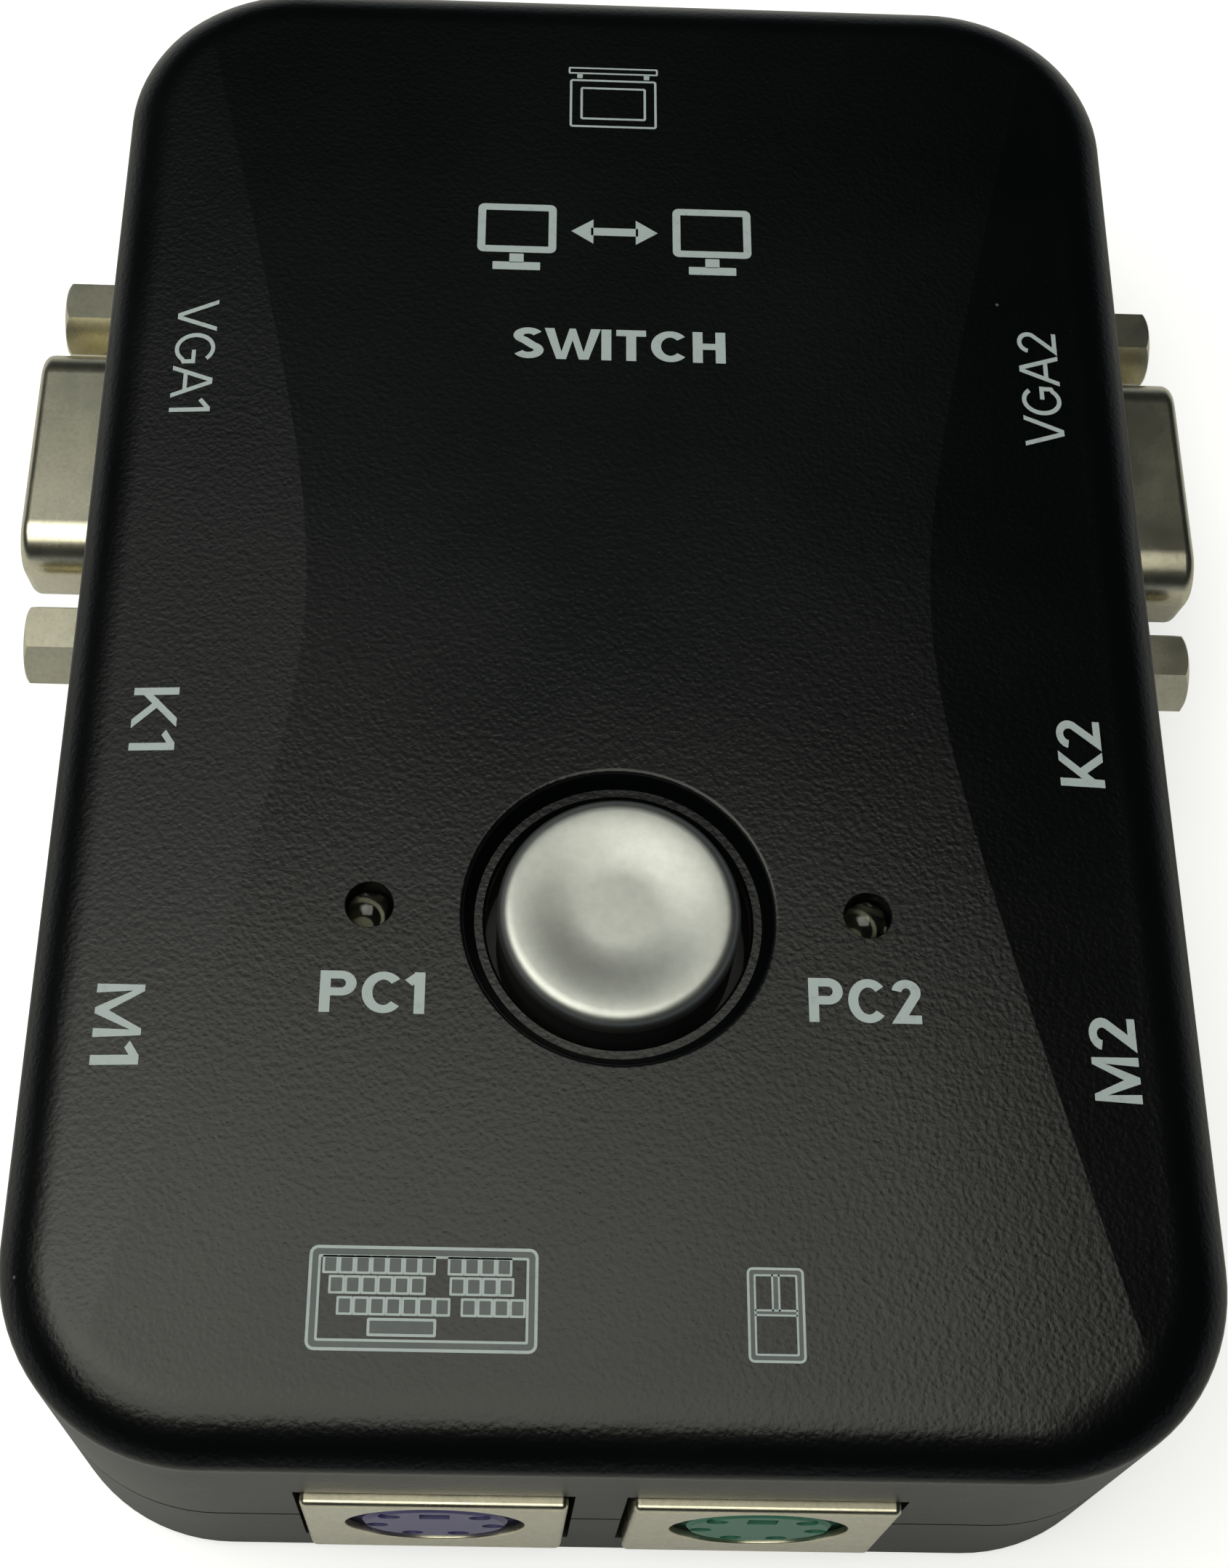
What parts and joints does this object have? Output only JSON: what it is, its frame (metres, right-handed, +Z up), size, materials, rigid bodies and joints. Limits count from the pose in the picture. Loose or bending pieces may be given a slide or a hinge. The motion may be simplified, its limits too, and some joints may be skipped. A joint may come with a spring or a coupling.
{
  "type": "kvm switch",
  "caption": "Pocket box that switches one screen, keyboard and mouse between computers: moulded two-shell case, push button, status lamps, D-sub and mini-DIN sockets.",
  "frame": {"origin": "below the middle of the bounding box, on the surface that the feet stand on", "axes": "+Z up; +Y along the length, away from the keyboard and mouse sockets and towards the screen socket; +X to the right of a user facing the front"},
  "size_m": [0.075, 0.1026, 0.0271],
  "materials": {
    "top_shell": "fine moulded grain, black",
    "bottom_shell": "fine moulded grain, black",
    "board": "green solder mask",
    "button": "satin silver plating on plastic",
    "switch_black": "smooth black",
    "spring_steel": "bright drawn wire",
    "lamp": "water-clear",
    "lamp_stand": "natural nylon",
    "nickel": "nickel plate, slightly warm",
    "video_blue": "smooth blue",
    "keyboard_purple": "smooth purple",
    "mouse_green": "smooth green",
    "screw_steel": "zinc plate",
    "foot_rubber": "matt black",
    "chip": "moulded epoxy",
    "can": "bright can"
  },
  "bodies": {
    "case": {"bottom_case": "bottom_shell", "capacitor_left": "can", "capacitor_right": "can", "case_screw_front_left": "screw_steel", "case_screw_front_right": "screw_steel", "case_screw_rear_left": "screw_steel", "case_screw_rear_right": "screw_steel", "control_chip": "chip", "crystal": "can", "din_insert_console_keyboard": "keyboard_purple", "din_insert_console_mouse": "mouse_green", "din_insert_pc1_keyboard": "keyboard_purple", "din_insert_pc1_mouse": "mouse_green", "din_insert_pc2_keyboard": "keyboard_purple", "din_insert_pc2_mouse": "mouse_green", "din_shield_console_keyboard": "nickel", "din_shield_console_mouse": "nickel", "din_shield_pc1_keyboard": "nickel", "din_shield_pc1_mouse": "nickel", "din_shield_pc2_keyboard": "nickel", "din_shield_pc2_mouse": "nickel", "foot_front_left": "foot_rubber", "foot_front_right": "foot_rubber", "foot_rear_left": "foot_rubber", "foot_rear_right": "foot_rubber", "jackscrew_pc1_a": "nickel", "jackscrew_pc1_b": "nickel", "jackscrew_pc2_a": "nickel", "jackscrew_pc2_b": "nickel", "jackscrew_screen_a": "nickel", "jackscrew_screen_b": "nickel", "lamp_pc1": "lamp", "lamp_pc2": "lamp", "lamp_stand_pc1": "lamp_stand", "lamp_stand_pc2": "lamp_stand", "main_board": "board", "return_spring": "spring_steel", "switch_housing": "switch_black", "switching_chip": "chip", "top_case": "top_shell", "video_insert_pc1": "video_blue", "video_insert_pc2": "video_blue", "video_insert_screen": "video_blue", "video_shell_pc1": "nickel", "video_shell_pc2": "nickel", "video_shell_screen": "nickel"},
    "button": {"button_cap": "button", "switch_plunger": "switch_black"}
  },
  "joints": [
    {"name": "button_press", "type": "slide", "parent": "case", "child": "button", "axis": [0, 0, -1], "range_m": [0, 0.0015], "stiffness_N_per_m": 600, "springref_m": -0.001, "deforming": ["return_spring"]}
  ]
}
